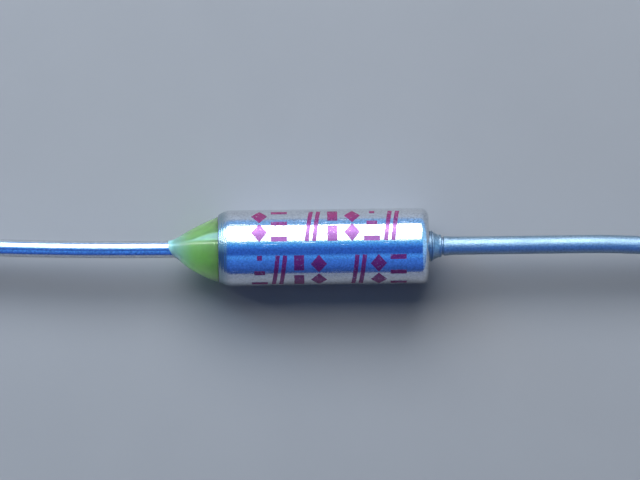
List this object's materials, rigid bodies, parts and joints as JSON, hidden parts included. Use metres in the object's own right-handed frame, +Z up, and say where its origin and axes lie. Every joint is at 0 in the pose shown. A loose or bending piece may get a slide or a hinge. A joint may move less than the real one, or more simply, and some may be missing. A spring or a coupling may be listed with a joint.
{
  "type": "thermal fuse",
  "caption": "Axial-lead thermal fuse: a plated can with a rolled lip, a pellet, springs and a sliding contact inside, and a wire lead at each end, one of them sealed in epoxy.",
  "frame": {"origin": "centre of the can on its axis", "axes": "+X along the can's axis out of its closed end, towards the tip of the case lead; +Z up as it lies in the picture, and +Y away from the viewer there"},
  "size_m": [0.051, 0.004, 0.004],
  "materials": {
    "plated_can": "silver plated, bright with fine drawing lines",
    "plated_wire": "silver-plated copper wire, satin",
    "plated_contact": "silver plated",
    "disc_brass": "blanked",
    "spring_steel": "drawn wire",
    "bushing_ceramic": "fired, unglazed",
    "green_epoxy": "glossy, slightly translucent",
    "pellet_wax": "pressed powder"
  },
  "bodies": {
    "shell": {"case": "plated_can", "case_lead": "plated_wire", "bushing": "bushing_ceramic", "isolated_lead": "plated_wire", "epoxy_seal": "green_epoxy", "pellet": "pellet_wax", "compression_spring": "spring_steel", "trip_spring": "spring_steel"},
    "sliding_contact": {"star_contact": "plated_contact", "contact_disc": "disc_brass"},
    "pressure_disc": {"pressure_disc": "disc_brass"}
  },
  "joints": [
    {"name": "contact_slide", "type": "slide", "parent": "shell", "child": "sliding_contact", "axis": [1, 0, 0], "range_m": [0, 0.0011], "deforming": ["trip_spring", "compression_spring"]},
    {"name": "pressure_slide", "type": "slide", "parent": "sliding_contact", "child": "pressure_disc", "axis": [1, 0, 0], "range_m": [0, 0.0011], "deforming": ["pellet"]}
  ],
  "couplings": [
    {"joint": "pressure_slide", "follows": "contact_slide", "ratio": 1}
  ]
}
